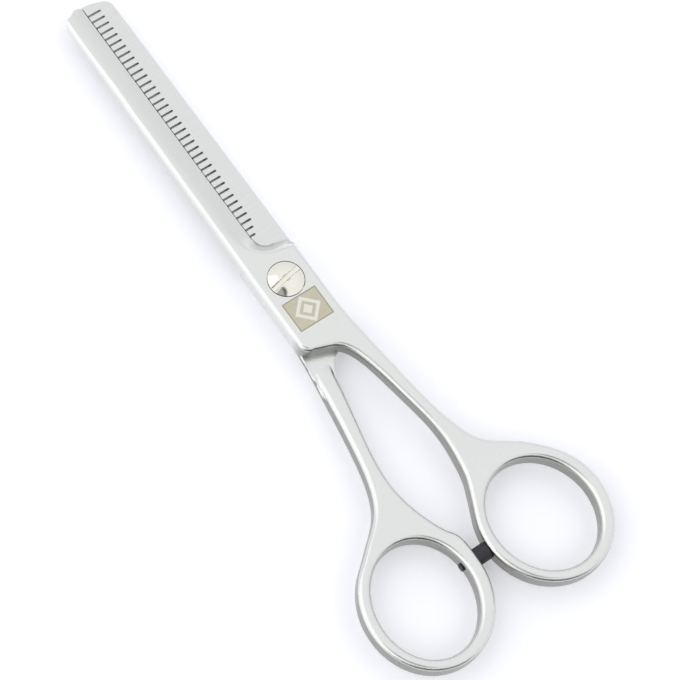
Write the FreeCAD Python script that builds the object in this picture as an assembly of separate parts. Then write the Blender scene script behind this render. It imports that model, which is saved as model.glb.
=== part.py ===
import FreeCAD, Part
import math
import os

from FreeCAD import Vector

os.makedirs("parts", exist_ok=True)

# Thinning shears, millimetres. The pivot axis is Z through the origin, the blades point
# along +X, and z = 0 is the underside of the lower (toothed) half at the joint.

# ---- joint plates of the two halves ----
half_thickness = 3.0          # forged thickness of each half at the joint
ride_gap = 0.04               # oil film between the two joint faces
joint_half_width = 5.55       # of each plate on its blade's side
upper_ring_side = 5.55        # of each plate on its ring's side
lower_ring_side = 4.95
joint_end = 13.9              # pivot to the rounded lower end of the upper joint plate
joint_end_step = 0.8          # the lower plate ends this much further back
joint_corner = 2.2            # corner radius of the joint plate
joint_lead = (1.0, 0.6)       # where the shank's inner edge starts: past the end, to the side
joint_nose = 7.0              # pivot to the front of the plate
nose_slant = 0.7              # how far the nose leans forward over its width
nose_arc = 2.5                # radius where the nose runs into the cutting edge
nose_ramp = 2.9               # width over which the outer face falls towards the nose
edge_round = 1.0              # rounding of the long outer edges

# ---- blades ----
blade_length = 65.0           # pivot to the tip of the plain blade
tip_step = 0.35               # the toothed blade is this much longer
tip_corner = 2.0
tip_bow = 0.5                 # how far the blunt end bows out
blade_root = 3.0              # where the blade grows out of the joint plate
wedge_start = 8.0             # where it starts to thin towards its tip
tip_thickness = 1.65
ramp_turn = (6.0, 13.0)       # between these x the nose's ramp widens into the blade's
ramp_over = 0.2               # slope left past the top of the ramp, as a share of its own
grind_step = 0.4              # spacing of the points that carry the ground face at the nose
grind_stations = 9            # and how many more of them follow along the blade
plain_edge = -0.3             # y of the plain cutting edge
plain_spine_tip = 4.72        # y of its spine at the tip; at the root it meets the joint plate
plain_edge_flat = 0.08        # thickness left at the plain cutting edge
plain_bevel = 0.35            # width and height of its whetted bevel
toothed_edge = -1.2           # y of the tooth tips, seen from the toothed half's own side
toothed_spine_root = 6.1
toothed_spine_tip = 5.65
tooth_thickness = 0.9

slot_count = 38
slot_width = 0.42
slot_depth = 4.3              # of the first slot, at the tip
slot_depth_root = 3.7         # of the last slots
slot_pitch = 1.413
first_slot = 2.0              # toothed tip to the first slot
run_out = 0.5                 # the last slots each get shorter by this
run_out_slots = 2

# ---- handles ----
ring_x = 60.6                 # pivot to the ring centre of the plain half, along the blades
ring_step = 1.0               # the toothed half's ring lies this much further back
thumb_ring_y = 13.4           # centre of the plain half's ring to the side of the pivot
thumb_ring_short = 12.2       # outer semi-axis of that ring across the shears
thumb_hole_y = 13.2           # the same for its hole
thumb_hole_short = 9.6
finger_ring_y = 13.5          # and for the toothed half's ring
finger_ring_short = 11.95
finger_hole_y = 13.7
finger_hole_short = 9.25
ring_long = 13.25             # outer semi-axis of both rings along the shears
hole_long = 10.9
ring_lean = 11.0              # degrees that the oval leans towards its shank
ring_depth = 4.2
upper_landings = (-60.0, 52.0)        # degrees round the oval where the shank's edges run into it
lower_landings = (-45.0, 80.0)

# The two edges of a shank, as (share of the way from joint end to ring centre, side distance).
upper_shank_outer = [(0.17, 6.95), (0.34, 8.05), (0.51, 9.75), (0.63, 12.35), (0.71, 17.4)]
upper_shank_inner = [(0.13, 3.1), (0.36, 5.4), (0.55, 6.5), (0.69, 5.75)]
lower_shank_outer = [(0.16, 6.5), (0.34, 7.9), (0.51, 9.7), (0.63, 12.4), (0.70, 16.0)]
lower_shank_inner = [(0.13, 2.55), (0.36, 5.0), (0.55, 6.4), (0.71, 5.4), (0.83, 3.05)]
# The same for its two faces: (share, distance out from the meeting plane).
shank_face = [(0.4, 2.45)]
shank_back = [(0.13, -0.75), (0.36, -1.35)]
face_starts = 2.0             # the outer face starts to fall this far before the joint's end
back_starts = 2.0             # the inner face starts to drop this far past the joint's end
back_dip = 0.2                # how steeply it starts to drop

# ---- pivot screw and its washer ----
screw_head = 6.7
head_clearance = 0.15         # radial gap between head and counterbore
counterbore_depth = 1.4
washer_thickness = 0.3
washer_gap = 0.02
head_edge = 1.1               # height of the head's straight side
head_dome = 0.8
driver_slot = 0.8             # width of the screwdriver slot
driver_slot_depth = 0.75
driver_slot_turn = 101.0      # degrees from the blades' line
shoulder = 4.2
shoulder_clearance = 0.03
thread = 3.6
thread_clearance = 0.03
screw_set_back = 0.1          # the screw's end stops this far inside the underside

# ---- rubber bumper ----
bumper_x = 60.25
bumper_head = 3.3
bumper_gap = 0.08             # left between the bumper and the other ring
stem = 1.5
stem_clearance = 0.02
stem_proud = 0.3              # stem end standing out inside the ring

# ---- places worked out from the sizes ----
meeting = half_thickness      # height of the plane where the halves meet
inner_face = meeting + ride_gap / 2
outer_face = 2 * half_thickness
far = 200.0                   # further than anything on the shears
counterbore_floor = outer_face - counterbore_depth
head_under = counterbore_floor + washer_thickness + washer_gap
lower_ring_x = ring_x + ring_step
thumb_ring = [(ring_x, thumb_ring_y), ring_long, thumb_ring_short]
thumb_hole = [(ring_x, thumb_hole_y), hole_long, thumb_hole_short]
finger_ring = [(lower_ring_x, finger_ring_y), ring_long, finger_ring_short]
finger_hole = [(lower_ring_x, finger_hole_y), hole_long, finger_hole_short]


def line(a, b):
    return Part.LineSegment(a, b).toShape()


def arc(a, b, c):
    return Part.Arc(a, b, c).toShape()


def spline(points, start, end):
    curve = Part.BSplineCurve()
    curve.interpolate(Points=points, InitialTangent=start, FinalTangent=end)
    return curve.toShape()


def closed_face(edges):
    return Part.Face(Part.Wire(Part.__sortEdges__(edges)))


def cylinder(diameter, low, high):
    return Part.makeCylinder(diameter / 2, high - low, Vector(0, 0, low))


def cross_bar(diameter, start, length):
    """A round bar along +Y at the bumper's place."""
    return Part.makeCylinder(diameter / 2, length, Vector(-bumper_x, start, meeting),
                             Vector(0, 1, 0))


def oval(centre, long_axis, short_axis):
    """A ring's oval about its centre on the -Y side, leaned towards its shank."""
    back, side = centre
    shape = Part.Ellipse(Vector(0, 0, 0), long_axis, short_axis)
    shape.rotate(FreeCAD.Placement(Vector(0, 0, 0), Vector(0, 0, 1), ring_lean))
    shape.translate(Vector(-back, -side, 0))
    return shape


def handle_plan(end, ring_side, ring_oval, outer, inner, landings):
    """Joint plate, shank and ring of one half from above, its ring on the -Y side."""
    back = ring_oval[0][0]
    ring = oval(*ring_oval)
    t_outer, t_inner = [math.radians(landing) for landing in landings]

    def along(share, side):
        return Vector(-end - share * (back - end), -side, 0)

    side_end = Vector(-end / 2, -ring_side, 0)
    outer_points = [side_end] + [along(*p) for p in outer] + [ring.value(t_outer)]
    outer_edge = spline(outer_points, Vector(-1, 0, 0), -Vector(*ring.tangent(t_outer)[0]))

    end_high = Vector(-end, joint_half_width - joint_corner, 0)
    end_low = Vector(-end - joint_lead[0], joint_lead[1], 0)
    inner_points = [end_low] + [along(*p) for p in inner] + [ring.value(t_inner)]
    inner_edge = spline(inner_points, end_low - end_high, Vector(*ring.tangent(t_inner)[0]))

    corner_side = Vector(-end + joint_corner, joint_half_width, 0)
    cut = joint_corner * (1 - math.sqrt(0.5))
    corner_middle = Vector(-end + cut, joint_half_width - cut, 0)

    nose_side = Vector(joint_nose, -ring_side, 0)
    nose_top = Vector(joint_nose + nose_slant, plain_edge - nose_arc, 0)
    bend = nose_arc * (1 - math.sqrt(0.5))
    nose_middle = nose_top + Vector(bend, nose_arc - bend, 0)
    nose_edge = nose_top + Vector(nose_arc, nose_arc, 0)
    inside = Vector(blade_root, plain_edge, 0)
    root_side = Vector(blade_root, joint_half_width, 0)
    return closed_face([
        line(nose_side, side_end),
        outer_edge,
        Part.Edge(ring, t_inner, t_outer + 2 * math.pi),
        inner_edge,
        line(end_low, end_high),
        arc(end_high, corner_middle, corner_side),
        line(corner_side, root_side),
        line(root_side, inside),
        line(inside, nose_edge),
        arc(nose_edge, nose_middle, nose_top),
        line(nose_top, nose_side),
    ])


def handle_side(end, back):
    """The same half from the side: level plate, shank that thickens, level ring."""
    def along(share, height):
        return Vector(-end - share * (back - end), 0, meeting + height)

    level = Vector(-1, 0, 0)
    ring_start = -back + ring_long
    ring_top = meeting + ring_depth / 2
    ring_low = meeting - ring_depth / 2
    face_start = Vector(-end + face_starts, 0, outer_face)
    back_start = Vector(-end - back_starts, 0, inner_face)
    face_end = Vector(ring_start, 0, ring_top)
    back_end = Vector(ring_start, 0, ring_low)
    face = spline([face_start] + [along(*p) for p in shank_face] + [face_end], level, level)
    inner = spline([back_start] + [along(*p) for p in shank_back] + [back_end],
                   Vector(-1, 0, -back_dip), level)
    return closed_face([
        line(Vector(far, 0, outer_face), face_start),
        face,
        line(face_end, Vector(-far, 0, ring_top)),
        line(Vector(-far, 0, ring_top), Vector(-far, 0, ring_low)),
        line(Vector(-far, 0, ring_low), back_end),
        inner,
        line(back_start, Vector(far, 0, inner_face)),
        line(Vector(far, 0, inner_face), Vector(far, 0, outer_face)),
    ])


def thickness_at(x):
    """Thickness of a blade along its spine."""
    share = max(0.0, (x - wedge_start) / (blade_length - wedge_start))
    return outer_face - inner_face + share * (tip_thickness - (outer_face - inner_face))


def spine_at(x, spines):
    """y of a blade's spine, which runs straight from its root to its tip."""
    share = (x - blade_root) / (blade_length - blade_root)
    return spines[0] + share * (spines[1] - spines[0])


def height_at(x, y, edge, spine, flat):
    """Height of the ground outer face, which falls to its outline at the nose and the edge."""
    centre = Vector(joint_nose + nose_slant + nose_arc, edge - nose_arc, 0)
    if x > centre.x:
        inwards = y - edge
    elif y < centre.y:
        inwards = centre.x - nose_arc - nose_slant * (centre.y - y) / nose_arc - x
    else:
        inwards = math.hypot(x - centre.x, y - centre.y) - nose_arc
    turn = min(1.0, max(0.0, (x - ramp_turn[0]) / (ramp_turn[1] - ramp_turn[0])))
    turn = turn * turn * (3 - 2 * turn)
    width = nose_ramp + turn * (spine - edge_round - edge - nose_ramp)
    share = max(-0.6, inwards / width)
    bow = (1 - ramp_over) / 4
    if share < 1:
        rise = (1 + bow) * share - bow * abs(share) ** 5
    else:
        rise = 1 + ramp_over * (share - 1)
    return inner_face + flat + rise * (thickness_at(x) - flat)


def above_outer_face(edge, spines, flat):
    """What grinding takes off above the nose and the blade of one half."""
    near = math.ceil((ramp_turn[1] - blade_root) / grind_step)
    xs = [blade_root + grind_step * step for step in range(near)]
    rest = (blade_length + half_thickness - xs[-1]) / grind_stations
    xs += [xs[-1] + rest * (step + 1) for step in range(grind_stations)]
    across = math.ceil((2 * joint_half_width + half_thickness) / grind_step)
    ys = [grind_step * step - joint_half_width - edge_round for step in range(across)]
    rows = []
    for x in xs:
        spine = spine_at(x, spines)
        rows.append([Vector(x, y, height_at(x, y, edge, spine, flat)) for y in ys])
    surface = Part.BSplineSurface()
    surface.interpolate(rows)
    return surface.toShape().extrude(Vector(0, 0, 3 * half_thickness))


def is_rim(edge):
    """Whether an edge runs along the rim of an upright wall, and isn't an upright corner."""
    box = edge.BoundBox
    if box.XLength < 0.01 or box.XMax > joint_nose + nose_arc:
        return False
    if box.ZLength > 0.9 * half_thickness and box.XLength < edge_round:
        return False
    at_meeting = abs(box.ZMin - inner_face) < 1e-4 and abs(box.ZMax - inner_face) < 1e-4
    behind_root = box.XMin < blade_root - 0.1
    return behind_root and not at_meeting


def handle(end, ring_side, ring_oval, hole_oval, *edges):
    """Joint plate, shank and ring in one, with its outer edges rounded."""
    high = Vector(0, 0, 3 * half_thickness)
    plan = handle_plan(end, ring_side, ring_oval, *edges).extrude(high)
    side = handle_side(end, ring_oval[0][0])
    side.translate(Vector(0, -far, 0))
    body = plan.common(side.extrude(Vector(0, 2 * far, 0)))
    hole = Part.Face(Part.Wire([oval(*hole_oval).toShape()]))
    body = body.cut(hole.extrude(high)).Solids[0]
    return body.makeFillet(edge_round, [edge for edge in body.Edges if is_rim(edge)])


def blade_section(x, edge, spine):
    """One cross-section of a blade before grinding, seen along X, with its round spine."""
    low = inner_face
    high = inner_face + thickness_at(x)
    turn = edge_round * math.sqrt(0.5)
    a = Vector(x, edge, low)
    b = Vector(x, spine, low)
    c = Vector(x, spine, high - edge_round)
    middle = Vector(x, spine - edge_round + turn, high - edge_round + turn)
    d = Vector(x, spine - edge_round, high)
    e = Vector(x, edge, high)
    return Part.Wire([line(a, b), line(b, c), arc(c, middle, d), line(d, e), line(e, a)])


def tip_plan(tip, edge, spine):
    """Plan of a blade with its blunt, bowed end and round outer corner."""
    inner = Vector(tip - 0.1 * tip_bow, edge, 0)
    bow = Vector(tip, (edge + spine) / 2, 0)
    corner = Vector(tip - tip_bow, spine - tip_corner, 0)
    turn = tip_corner * (1 - math.sqrt(0.5))
    corner_middle = Vector(tip - tip_bow - turn, spine - turn, 0)
    corner_end = Vector(tip - tip_bow - tip_corner, spine, 0)
    outside = Vector(corner_end.x, spine + half_thickness, 0)
    root_outside = Vector(blade_root, spine + half_thickness, 0)
    root_inside = Vector(blade_root, edge, 0)
    return closed_face([
        arc(inner, bow, corner),
        arc(corner, corner_middle, corner_end),
        line(corner_end, outside),
        line(outside, root_outside),
        line(root_outside, root_inside),
        line(root_inside, inner),
    ])


def blade(tip, edge, spines):
    """A blade that thins towards its tip. Its root reaches into the joint plate."""
    stations = (blade_root, wedge_start, blade_length + 1)
    sections = [blade_section(x, edge, spine_at(x, spines)) for x in stations]
    body = Part.makeLoft(sections, True, True)
    return body.common(tip_plan(tip, edge, spines[1]).extrude(Vector(0, 0, 3 * half_thickness)))


def whetted_off():
    """What the whetstone takes off above the plain blade's cutting edge."""
    low = inner_face + plain_edge_flat
    start = joint_nose + nose_slant + nose_arc
    outer = Vector(start, plain_edge - 1, low)
    profile = Part.makePolygon([
        Vector(start, plain_edge, low),
        Vector(start, plain_edge + plain_bevel, low + plain_bevel),
        Vector(start, plain_edge + plain_bevel, outer_face),
        Vector(start, outer.y, outer_face),
        outer,
        Vector(start, plain_edge, low),
    ])
    return Part.Face(profile).extrude(Vector(blade_length, 0, 0))


def slot(number):
    """One slot between two teeth, open at the tooth tips. They get less deep towards the root."""
    share = number / (slot_count - 1)
    depth = slot_depth + share * (slot_depth_root - slot_depth)
    depth -= run_out * max(0, number + 1 + run_out_slots - slot_count)
    x = toothed_tip - first_slot - number * slot_pitch
    floor = meeting - 1
    straight = depth - slot_width / 2
    cutter = Part.makeBox(slot_width, straight + 1, half_thickness + 2,
                          Vector(x - slot_width / 2, toothed_edge - 1, floor))
    round_end = Part.makeCylinder(slot_width / 2, half_thickness + 2,
                                  Vector(x, toothed_edge + straight, floor))
    return cutter.fuse(round_end)


def turned_over(shape):
    """The lower half is built like the upper one, then turned over about the blades' line."""
    shape.rotate(Vector(0, 0, meeting), Vector(1, 0, 0), 180)
    return shape


def write(name, shape):
    shape.removeSplitter().exportStep("parts/" + name + ".step")


# The upper half: plain blade, with a counterbore that holds the screw's head and washer.
plain_spines = (joint_half_width, plain_spine_tip)
upper_handle = handle(joint_end, upper_ring_side, thumb_ring, thumb_hole,
                      upper_shank_outer, upper_shank_inner, upper_landings)
plain_half = upper_handle.fuse(blade(blade_length, plain_edge, plain_spines))
plain_half = plain_half.cut(above_outer_face(plain_edge, plain_spines, plain_edge_flat + plain_bevel))
plain_half = plain_half.cut(whetted_off())
plain_half = plain_half.cut(cylinder(shoulder + 2 * shoulder_clearance, 0, outer_face + 1))
counterbore = cylinder(screw_head + 2 * head_clearance, counterbore_floor, outer_face + 1)
write("plain_blade_half", plain_half.cut(counterbore))

# The lower half: comb-cut blade, threaded hole, and the bumper's hole through its ring.
toothed_tip = blade_length + tip_step
toothed_spines = (toothed_spine_root, toothed_spine_tip)
lower_handle = handle(joint_end + joint_end_step, lower_ring_side, finger_ring, finger_hole,
                      lower_shank_outer, lower_shank_inner, lower_landings)
toothed_half = lower_handle.fuse(blade(toothed_tip, toothed_edge, toothed_spines))
toothed_half = toothed_half.cut(above_outer_face(toothed_edge, toothed_spines, tooth_thickness))
toothed_half = toothed_half.cut(Part.Compound([slot(number) for number in range(slot_count)]))
undrilled_half = turned_over(toothed_half)
toothed_half = undrilled_half.cut(cross_bar(stem + 2 * stem_clearance, 0, finger_ring_y))
toothed_half = toothed_half.cut(cylinder(thread + 2 * thread_clearance, -1, outer_face))
write("toothed_blade_half", toothed_half)

# The pivot screw: domed head with a slot, plain shoulder in the upper half, thread in the lower.
edge_top = head_under + head_edge
head_top = edge_top + head_dome
dome_radius = ((screw_head / 2) ** 2 + head_dome ** 2) / (2 * head_dome)
dome = Part.makeSphere(dome_radius, Vector(0, 0, head_top - dome_radius))
head = cylinder(screw_head, head_under, head_top).common(dome)
head = head.cut(Part.makeBox(screw_head + 1, driver_slot, driver_slot_depth + 1,
                             Vector(-screw_head / 2 - 0.5, -driver_slot / 2,
                                    head_top - driver_slot_depth)))
head.rotate(Vector(0, 0, 0), Vector(0, 0, 1), driver_slot_turn)
screw = head.fuse(cylinder(shoulder, inner_face, head_under))
write("pivot_screw", screw.fuse(cylinder(thread, screw_set_back, inner_face)))

# A thin polymer washer lies under the head, so that the steel doesn't gall.
washer = cylinder(screw_head, counterbore_floor, counterbore_floor + washer_thickness)
write("glide_washer", washer.cut(cylinder(shoulder + 4 * shoulder_clearance, 0, outer_face)))

# The rubber bumper: a short cylinder on the lower half's ring, its stem through the wall.
# Its free end stops short of the highest point that the other ring reaches beside it.
other_ring = oval(*thumb_ring)
beside = [other_ring.value(math.radians(step)) for step in range(60, 121)]
bumper_face = max(point.y for point in beside) + bumper_gap
ring_wall = finger_ring_y - finger_ring_short
bumper = cross_bar(bumper_head, bumper_face, ring_wall + bumper_head - bumper_face)
bumper = bumper.cut(undrilled_half)
bumper = min(bumper.Solids, key=lambda solid: solid.CenterOfMass.y)
stem_start = bumper_face + stem / 2
stem_end = finger_hole_y - finger_hole_short + stem_proud
bumper_stem = cross_bar(stem, stem_start, stem_end - stem_start)
write("bumper_stop", bumper.fuse(bumper_stem))
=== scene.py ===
import math

import bmesh
import bpy
from mathutils import Matrix, Vector


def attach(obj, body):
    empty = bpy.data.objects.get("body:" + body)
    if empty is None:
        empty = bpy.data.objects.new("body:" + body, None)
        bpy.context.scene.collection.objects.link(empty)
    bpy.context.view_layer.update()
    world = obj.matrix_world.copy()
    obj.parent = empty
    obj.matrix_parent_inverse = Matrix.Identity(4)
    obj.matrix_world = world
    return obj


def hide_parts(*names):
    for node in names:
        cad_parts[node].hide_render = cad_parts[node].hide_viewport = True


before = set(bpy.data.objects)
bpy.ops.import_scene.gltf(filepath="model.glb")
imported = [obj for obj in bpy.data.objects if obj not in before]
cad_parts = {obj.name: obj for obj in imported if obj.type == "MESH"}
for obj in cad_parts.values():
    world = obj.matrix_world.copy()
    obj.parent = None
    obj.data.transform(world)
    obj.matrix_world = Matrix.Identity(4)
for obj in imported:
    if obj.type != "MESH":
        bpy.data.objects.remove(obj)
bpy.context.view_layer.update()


# The toothed half: the lower of the two, forged from martensitic stainless steel in one piece
# with its shank and finger ring. The comb slots are cut after the forging is ground, and the
# whole half is then bead blasted to an even satin.

def forged_form(name, node):
    """A smooth-shaded piece in the shape of a forged half, its flats kept flat."""
    form = bmesh.new()
    form.from_mesh(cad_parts[node].data)
    bmesh.ops.remove_doubles(form, verts=form.verts, dist=1e-6)
    bmesh.ops.dissolve_degenerate(form, edges=form.edges, dist=1e-7)
    bmesh.ops.dissolve_limit(form, angle_limit=math.radians(0.1), verts=form.verts, edges=form.edges)
    mesh = bpy.data.meshes.new(name)
    form.to_mesh(mesh)
    form.free()
    mesh.shade_smooth()
    mesh.set_sharp_from_angle(angle=math.radians(32))
    piece = bpy.data.objects.new(name, mesh)
    bpy.context.scene.collection.objects.link(piece)
    flats = piece.modifiers.new("flat faces stay flat", "WEIGHTED_NORMAL")
    flats.keep_sharp = True
    return piece


def linear(hex_colour):
    """A colour written as sRGB hex, in the linear values that shaders use."""
    channels = [int(hex_colour[i:i + 2], 16) / 255 for i in (1, 3, 5)]
    return [c / 12.92 if c <= 0.04045 else ((c + 0.055) / 1.055) ** 2.4 for c in channels] + [1.0]


def add(tree, kind, settings=(), links=()):
    """Adds one node. A setting is a property of the node, or the value of one of its inputs."""
    node = tree.nodes.new(kind)
    for key, value in dict(settings).items():
        if isinstance(key, str) and hasattr(node, key):
            setattr(node, key, value)
        else:
            node.inputs[key].default_value = value
    for key, source in dict(links).items():
        tree.links.new(source, node.inputs[key])
    return node


def new_material(name):
    """An empty node material and its tree."""
    material = bpy.data.materials.new(name)
    material.use_nodes = True
    material.node_tree.nodes.clear()
    return material, material.node_tree


GRIT = 0.3e-3           # the glass beads' dimples: nearer 0.1 mm, drawn coarser so that they show
DIMPLE_DEPTH = 6e-6
CLOUD = 9e-3            # size of the patches that are blasted a little finer or coarser
BLADES_START = (-13e-3, -10e-3)     # the painted shade on the handles' walls fades out here
STEEL = "#E6E7E3"
# painted shade: the colour of the handles' upright walls
WALL_SHADE = "#999993"

# Bead-blasted stainless steel: an even, pale satin with a very fine grain. The upright walls
# of the handles are painted greyer: painted shade, where they face the shaded floor.
satin_steel, tree = new_material("bead_blasted_stainless_steel")
texture = add(tree, "ShaderNodeTexCoord")
place = texture.outputs["Object"]
grain = add(tree, "ShaderNodeTexNoise", {"Scale": 1 / GRIT, "Detail": 2.0, "Roughness": 0.6},
            {"Vector": place})
patches = add(tree, "ShaderNodeTexNoise", {"Scale": 1 / CLOUD, "Detail": 3.0}, {"Vector": place})
rough = add(tree, "ShaderNodeMapRange", {"From Min": 0.3, "From Max": 0.7, "To Min": 0.23,
                                         "To Max": 0.30}, {"Value": patches.outputs["Fac"]})
dimples = add(tree, "ShaderNodeBump", {"Strength": 0.25, "Distance": DIMPLE_DEPTH},
              {"Height": grain.outputs["Fac"]})
faces = add(tree, "ShaderNodeSeparateXYZ", links={"Vector": texture.outputs["Normal"]})
level = add(tree, "ShaderNodeMath", {"operation": "ABSOLUTE"}, {0: faces.outputs["Z"]})
flat = add(tree, "ShaderNodeMapRange", {"interpolation_type": "SMOOTHSTEP", "From Min": 0.15,
                                        "From Max": 0.75}, {"Value": level.outputs[0]})
along = add(tree, "ShaderNodeSeparateXYZ", links={"Vector": place})
blades = add(tree, "ShaderNodeMapRange", {"From Min": BLADES_START[0], "From Max": BLADES_START[1]},
             {"Value": along.outputs["X"]})
# The painted shade goes on the upright walls of the handles, not on the flats or the blades.
unshaded = add(tree, "ShaderNodeMath", {"operation": "MAXIMUM"},
             {0: flat.outputs["Result"], 1: blades.outputs["Result"]})
surface = add(tree, "ShaderNodeMix", {"data_type": "RGBA", 6: linear(WALL_SHADE), 7: linear(STEEL)},
           {0: unshaded.outputs[0]})
shade = add(tree, "ShaderNodeBsdfPrincipled", {"Metallic": 1.0},
            {"Base Color": surface.outputs[2], "Roughness": rough.outputs["Result"],
             "Normal": dimples.outputs["Normal"]})
add(tree, "ShaderNodeOutputMaterial", links={"Surface": shade.outputs["BSDF"]})


def worked_steel(name):
    """A copy of the blasted steel for one half, with its tree, shader and coordinates node."""
    material = satin_steel.copy()
    material.name = name
    kinds = {node.type: node for node in material.node_tree.nodes}
    return material, material.node_tree, kinds["BSDF_PRINCIPLED"], kinds["TEX_COORD"]


def within(tree, place, low, high):
    """1 for points inside the box between two corners, 0 outside it."""
    middle = (Vector(low) + Vector(high)) / 2
    off = add(tree, "ShaderNodeVectorMath", {"operation": "SUBTRACT", 1: middle}, {0: place})
    share = add(tree, "ShaderNodeVectorMath", {"operation": "DIVIDE", 1: Vector(high) - middle},
                {0: off.outputs[0]})
    size = add(tree, "ShaderNodeVectorMath", {"operation": "ABSOLUTE"}, {0: share.outputs[0]})
    axes = add(tree, "ShaderNodeSeparateXYZ", links={"Vector": size.outputs[0]})
    wide = add(tree, "ShaderNodeMath", {"operation": "MAXIMUM"},
               {0: axes.outputs["X"], 1: axes.outputs["Y"]})
    widest = add(tree, "ShaderNodeMath", {"operation": "MAXIMUM"},
                 {0: wide.outputs[0], 1: axes.outputs["Z"]})
    return add(tree, "ShaderNodeMath", {"operation": "LESS_THAN", 1: 1.0},
               {0: widest.outputs[0]}).outputs[0]


def brushed(tree, place, stroke, dark, light):
    """A colour that varies in strokes along Y, a stroke given as its width and its length."""
    width, length = stroke
    strokes = add(tree, "ShaderNodeMapping", {"Scale": (1 / width, 1 / length, 1.0)},
                  {"Vector": place})
    noise = add(tree, "ShaderNodeTexNoise", {"Scale": 1.0, "Detail": 2.0},
                {"Vector": strokes.outputs["Vector"]})
    return add(tree, "ShaderNodeMix", {"data_type": "RGBA", 6: linear(dark), 7: linear(light)},
               {0: noise.outputs["Fac"]}).outputs[2]


def lay_over(tree, shade, mask, colour):
    """Gives a shader another colour, a hex value or another node's, where the mask is 1."""
    before = shade.inputs["Base Color"].links[0].from_socket
    mix = add(tree, "ShaderNodeMix", {"data_type": "RGBA"}, {0: mask, 6: before})
    if isinstance(colour, str):
        mix.inputs[7].default_value = linear(colour)
    else:
        tree.links.new(colour, mix.inputs[7])
    tree.links.new(mix.outputs[2], shade.inputs["Base Color"])


# The inner face of the comb blade is ground across after the blasting. The walls of its slots
# are painted a darker grey: painted shade deep in the slots.
GRINDING = (0.2e-3, 6e-3)   # width and length of a stroke: nearer 0.05 mm wide, drawn coarser
INNER_FACE_LOW = (6.5e-3, -8e-3, 2.93e-3)
INNER_FACE_HIGH = (70e-3, 8e-3, 3.1e-3)
COMB_LOW = (6.5e-3, -3.17e-3, -0.1e-3)
COMB_HIGH = (70e-3, 1.17e-3, 3.1e-3)
UPRIGHT = 0.3               # a wall's normal leans up or down by less than this
# painted shade for the walls of the comb's slots
SLOT_SHADE = "#A3A4A0"

comb_steel, tree, shade, texture = worked_steel("stainless_steel_with_ground_inner_face")
place = texture.outputs["Object"]
inner_face = within(tree, place, INNER_FACE_LOW, INNER_FACE_HIGH)
lay_over(tree, shade, inner_face, brushed(tree, place, GRINDING, "#DCDDD9", "#E8E9E6"))
faces = add(tree, "ShaderNodeSeparateXYZ", links={"Vector": texture.outputs["Normal"]})
upright = add(tree, "ShaderNodeMath", {"operation": "COMPARE", 1: 0.0, 2: UPRIGHT},
              {0: faces.outputs["Z"]})
# painted shade on the upright walls inside the comb
shaded_slot_walls = add(tree, "ShaderNodeMath", {"operation": "MULTIPLY"},
                 {0: upright.outputs[0], 1: within(tree, place, COMB_LOW, COMB_HIGH)})
lay_over(tree, shade, shaded_slot_walls.outputs[0], SLOT_SHADE)

toothed_half = forged_form("toothed_half", "toothed_blade_half")
toothed_half.data.materials.append(comb_steel)
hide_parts("toothed_blade_half")
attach(toothed_half, "toothed_half")


# The plain half: the upper one, forged and blasted like the toothed half, with a straight
# whetted cutting edge. Its joint plate carries the counterbore for the screw, and beside it
# a field that is etched and tinted pale gold, with a plain lozenge left bright in its middle.

FIELD_MIDDLE = Vector((-6.8e-3, 0.0, 6.0e-3))
FIELD_HALF = Vector((3.05e-3, 3.65e-3, 0.06e-3))
BORDER = Vector((0.2e-3, 0.2e-3, 0.0))
GOLD_STROKE = (0.25e-3, 4e-3)   # width and length of a stroke, brushed across the shears
BORDER_GOLD = "#A19C84"
BARE = "#E9E7DC"
EDGE_SHADOW_LOW = (9.0e-3, -8e-3, 2.9e-3)
EDGE_SHADOW_HIGH = (70e-3, 0.37e-3, 3.5e-3)
# painted shadow: the colour of the dark line along the cutting edge
EDGE_SHADOW = "#6C6D6A"

marked_steel, tree, shade, texture = worked_steel("bead_blasted_stainless_steel_with_etched_field")
place = texture.outputs["Object"]
inside_border = FIELD_HALF - BORDER
field = within(tree, place, FIELD_MIDDLE - FIELD_HALF, FIELD_MIDDLE + FIELD_HALF)
framed = within(tree, place, FIELD_MIDDLE - inside_border, FIELD_MIDDLE + inside_border)
gold = brushed(tree, place, GOLD_STROKE, "#BDB8A2", "#D6D1BA")
lay_over(tree, shade, field, BORDER_GOLD)
lay_over(tree, shade, framed, gold)

# Points of one lozenge all lie equally far from its middle, counted along X plus along Y.
centred = add(tree, "ShaderNodeVectorMath", {"operation": "SUBTRACT", 1: FIELD_MIDDLE}, {0: place})
beside = add(tree, "ShaderNodeVectorMath", {"operation": "ABSOLUTE"}, {0: centred.outputs[0]})
across = add(tree, "ShaderNodeSeparateXYZ", links={"Vector": beside.outputs[0]})
slant = add(tree, "ShaderNodeMath", {"operation": "ADD"},
            {0: across.outputs["X"], 1: across.outputs["Y"]})
for half_width, colour in ((2.8e-3, BARE), (1.9e-3, gold), (1.1e-3, BARE)):
    inside = add(tree, "ShaderNodeMath", {"operation": "LESS_THAN", 1: half_width},
                 {0: slant.outputs[0]})
    lozenge = add(tree, "ShaderNodeMath", {"operation": "MULTIPLY"},
                  {0: inside.outputs[0], 1: framed})
    lay_over(tree, shade, lozenge.outputs[0], colour)

# A painted shadow: a dark line along the cutting edge, the shade in the gap where the plain blade lies
# on the toothed one.
lay_over(tree, shade, within(tree, place, EDGE_SHADOW_LOW, EDGE_SHADOW_HIGH), EDGE_SHADOW)

plain_half = forged_form("plain_half", "plain_blade_half")
plain_half.data.materials.append(marked_steel)
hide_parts("plain_blade_half")
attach(plain_half, "plain_half")


# The pivot screw: turned from stainless steel, its slotted dome buffed bright so that it
# shows the room. It holds the two halves together and sets how stiff the cut is.

TURNING = 0.6e-3        # scale of the turning marks. They come out 0.2 mm apart, coarser than real

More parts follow.
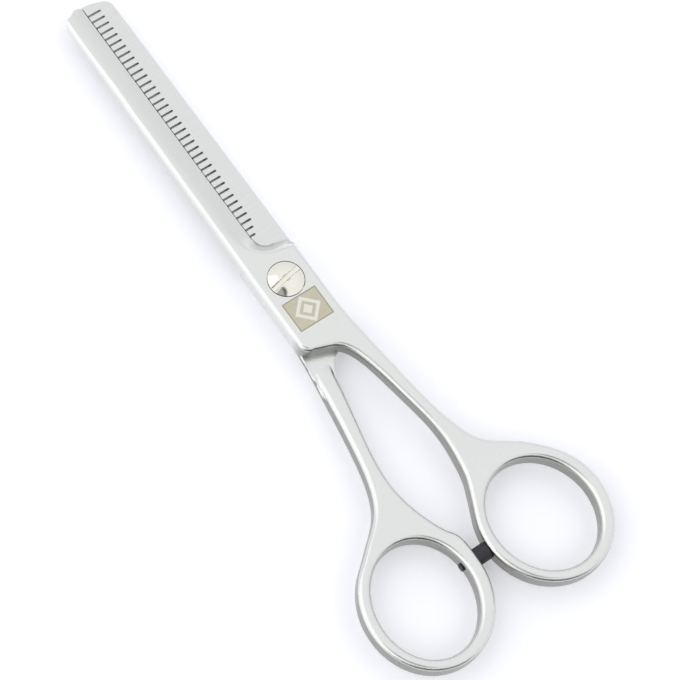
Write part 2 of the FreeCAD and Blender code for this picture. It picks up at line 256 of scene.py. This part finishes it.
polished_steel, tree = new_material("buffed_stainless_steel")
place = add(tree, "ShaderNodeTexCoord").outputs["Object"]
rings = add(tree, "ShaderNodeTexWave", {"wave_type": "RINGS", "rings_direction": "Z",
                                        "Scale": 1 / TURNING, "Distortion": 1.0}, {"Vector": place})
rough = add(tree, "ShaderNodeMapRange", {"To Min": 0.10, "To Max": 0.16},
            {"Value": rings.outputs["Fac"]})
shade = add(tree, "ShaderNodeBsdfPrincipled", {"Base Color": linear("#F3F0E4"), "Metallic": 1.0},
            {"Roughness": rough.outputs["Result"]})
add(tree, "ShaderNodeOutputMaterial", links={"Surface": shade.outputs["BSDF"]})

screw = forged_form("slotted_screw", "pivot_screw")
screw.data.materials.append(polished_steel)
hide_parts("pivot_screw")
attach(screw, "screw")


# The glide washer: a thin ring of natural acetal, stamped out of sheet. It lies under the
# screw's head, so that steel doesn't rub on steel when the shears are worked.

ACETAL_CLOUD = 0.8e-3   # size of the patches that are a little duller or smoother

acetal, tree = new_material("natural_acetal")
place = add(tree, "ShaderNodeTexCoord").outputs["Object"]
cloud = add(tree, "ShaderNodeTexNoise", {"Scale": 1 / ACETAL_CLOUD}, {"Vector": place})
rough = add(tree, "ShaderNodeMapRange", {"To Min": 0.38, "To Max": 0.5},
            {"Value": cloud.outputs["Fac"]})
shade = add(tree, "ShaderNodeBsdfPrincipled", {"Base Color": linear("#E9E6DC"), "IOR": 1.48},
            {"Roughness": rough.outputs["Result"]})
add(tree, "ShaderNodeOutputMaterial", links={"Surface": shade.outputs["BSDF"]})
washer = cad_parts["glide_washer"]
washer.data.materials.clear()
washer.data.materials.append(acetal)


# The bumper: a moulded black rubber stop whose stem is pulled through the finger ring's wall.
# It keeps the two rings apart when the shears close.

PORES = 0.25e-3         # the mould's texture: nearer 0.05 mm, drawn coarser so that it shows
PORE_DEPTH = 1.5e-5

rubber, tree = new_material("black_rubber")
place = add(tree, "ShaderNodeTexCoord").outputs["Object"]
surface = add(tree, "ShaderNodeTexNoise", {"Scale": 1 / PORES, "Detail": 4.0}, {"Vector": place})
pores = add(tree, "ShaderNodeBump", {"Strength": 0.4, "Distance": PORE_DEPTH},
            {"Height": surface.outputs["Fac"]})
rough = add(tree, "ShaderNodeMapRange", {"To Min": 0.42, "To Max": 0.6},
            {"Value": surface.outputs["Fac"]})
shade = add(tree, "ShaderNodeBsdfPrincipled", {"Base Color": linear("#26262B"), "IOR": 1.52},
            {"Roughness": rough.outputs["Result"], "Normal": pores.outputs["Normal"]})
add(tree, "ShaderNodeOutputMaterial", links={"Surface": shade.outputs["BSDF"]})
bumper = forged_form("rubber_bumper", "bumper_stop")
bumper.data.materials.append(rubber)
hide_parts("bumper_stop")
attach(bumper, "toothed_half")


# The table: a sheet of white card that the shears lie on. It shows as plain white, and keeps
# the soft shadow under the steel.

OWN_GLOW = 0.22         # what the card adds to its lit colour, so that it shows as plain white
CARD_RADIUS = 2.0
BELOW = 0.02e-3         # the card lies this far under the steel, so that no two faces coincide

white_card, tree = new_material("white_card")
ray = add(tree, "ShaderNodeLightPath")
seen = add(tree, "ShaderNodeMath", {"operation": "MAXIMUM"},
           {0: ray.outputs["Is Camera Ray"], 1: ray.outputs["Is Glossy Ray"]})
seen = add(tree, "ShaderNodeMath", {"operation": "MAXIMUM"},
           {0: seen.outputs[0], 1: ray.outputs["Is Transmission Ray"]})
glow = add(tree, "ShaderNodeMath", {"operation": "MULTIPLY", 1: OWN_GLOW}, {0: seen.outputs[0]})
paper = add(tree, "ShaderNodeBsdfDiffuse", {"Color": linear("#F6F6FB")})
white = add(tree, "ShaderNodeEmission", links={"Strength": glow.outputs[0]})
card = add(tree, "ShaderNodeAddShader", links={0: paper.outputs["BSDF"], 1: white.outputs["Emission"]})
add(tree, "ShaderNodeOutputMaterial", links={"Surface": card.outputs["Shader"]})
form = bmesh.new()
bmesh.ops.create_circle(form, cap_ends=True, radius=CARD_RADIUS, segments=64,
                        matrix=Matrix.Translation((0, 0, -BELOW)))
mesh = bpy.data.meshes.new("table")
form.to_mesh(mesh)
form.free()
table = bpy.data.objects.new("table", mesh)
bpy.context.scene.collection.objects.link(table)
table.data.materials.append(white_card)


# The camera: a long lens set high up on the rings' side, looking down at the shears at
# 23 degrees from straight above.

CAMERA_PLACE = Vector((-0.12440, 0.16018, 0.46589))
CAMERA_AHEAD = Vector((0.21940, -0.32332, -0.92051))
CAMERA_ROLL = math.radians(21.574)

lens = bpy.data.cameras.new("camera")
lens.lens = 148.66
lens.sensor_width = 36.0
lens.clip_start = 0.01
lens.clip_end = 20.0
roll = Matrix.Rotation(CAMERA_ROLL, 4, "Z")
right = CAMERA_AHEAD.cross(Vector((0, 0, 1))).normalized()
upward = right.cross(CAMERA_AHEAD)
turn = Matrix((right, upward, -CAMERA_AHEAD)).transposed().to_4x4()
camera = bpy.data.objects.new("camera", lens)
camera.matrix_world = Matrix.Translation(CAMERA_PLACE) @ turn @ roll
bpy.context.scene.collection.objects.link(camera)
bpy.context.scene.camera = camera
bpy.context.scene.view_settings.view_transform = "Standard"


# The light: a white tent, bright overhead and a little weaker low down, with one large soft
# lamp beside the blades. It is dark where it stands open, low down behind the rings, and where
# the camera looks in.

OPENING = Vector((-0.89, 0.44, 0.05)).normalized()
OPENING_FLATNESS = 2.2  # how much wider than high the opening is
OPENING_EDGE = (0.5, 0.75)      # cosines of the angles off its middle where the light fades
OPENING_LEFT = 0.03             # the part of the tent's light that still comes from it
LENS_EDGE = (0.94, 0.97)        # the same for the opening that the camera looks through
LENS_LEFT = 0.1
LOW_DOWN = 0.84                 # the tent's light at the foot, next to 1 overhead
LAMP_PLACE = Vector((0.12, 0.5, 0.42))
LAMP_WIDTH = 1.2
LAMP_POWER = 1.6

world = bpy.data.worlds.new("light_tent")
bpy.context.scene.world = world
world.use_nodes = True
tree = world.node_tree
tree.nodes.clear()
towards = add(tree, "ShaderNodeTexCoord").outputs["Generated"]
height = add(tree, "ShaderNodeSeparateXYZ", links={"Vector": towards}).outputs["Z"]
dome = add(tree, "ShaderNodeMapRange", {"From Min": 0.0, "From Max": 0.9, "To Min": LOW_DOWN,
                                        "To Max": 1.0}, {"Value": height})
steeper = add(tree, "ShaderNodeVectorMath",
              {"operation": "MULTIPLY", 1: (1.0, 1.0, OPENING_FLATNESS)}, {0: towards})
steeper = add(tree, "ShaderNodeVectorMath", {"operation": "NORMALIZE"}, {0: steeper.outputs[0]})


def dark_near(middle, edge, left, direction):
    """1 over most of the tent, less in the directions close to the middle of an opening."""
    cosine = add(tree, "ShaderNodeVectorMath", {"operation": "DOT_PRODUCT", 1: middle},
                 {0: direction})
    fade = add(tree, "ShaderNodeMapRange",
               {"interpolation_type": "SMOOTHSTEP", "From Min": edge[0], "From Max": edge[1],
                "To Min": 1.0, "To Max": left}, {"Value": cosine.outputs["Value"]})
    return fade.outputs["Result"]


gap = dark_near(OPENING, OPENING_EDGE, OPENING_LEFT, steeper.outputs[0])
hole = dark_near(-CAMERA_AHEAD, LENS_EDGE, LENS_LEFT, towards)
tent = add(tree, "ShaderNodeMath", {"operation": "MULTIPLY"},
           {0: dome.outputs["Result"], 1: gap})
tent = add(tree, "ShaderNodeMath", {"operation": "MULTIPLY"},
           {0: tent.outputs[0], 1: hole})
ray = add(tree, "ShaderNodeLightPath")
light = add(tree, "ShaderNodeBackground", {"Color": linear("#FBFCFF")}, {"Strength": tent.outputs[0]})
plain = add(tree, "ShaderNodeBackground", {"Color": (1, 1, 1, 1), "Strength": 1.0})
sky = add(tree, "ShaderNodeMixShader", links={0: ray.outputs["Is Camera Ray"],
                                               1: light.outputs[0], 2: plain.outputs[0]})
add(tree, "ShaderNodeOutputWorld", links={"Surface": sky.outputs[0]})

lamp = bpy.data.lights.new("soft_lamp", "AREA")
lamp.shape = "SQUARE"
lamp.size = LAMP_WIDTH
lamp.energy = LAMP_POWER
lamp_object = bpy.data.objects.new("soft_lamp", lamp)
lamp_object.matrix_world = (Matrix.Translation(LAMP_PLACE)
                            @ (-LAMP_PLACE).to_track_quat("-Z", "Y").to_matrix().to_4x4())
bpy.context.scene.collection.objects.link(lamp_object)
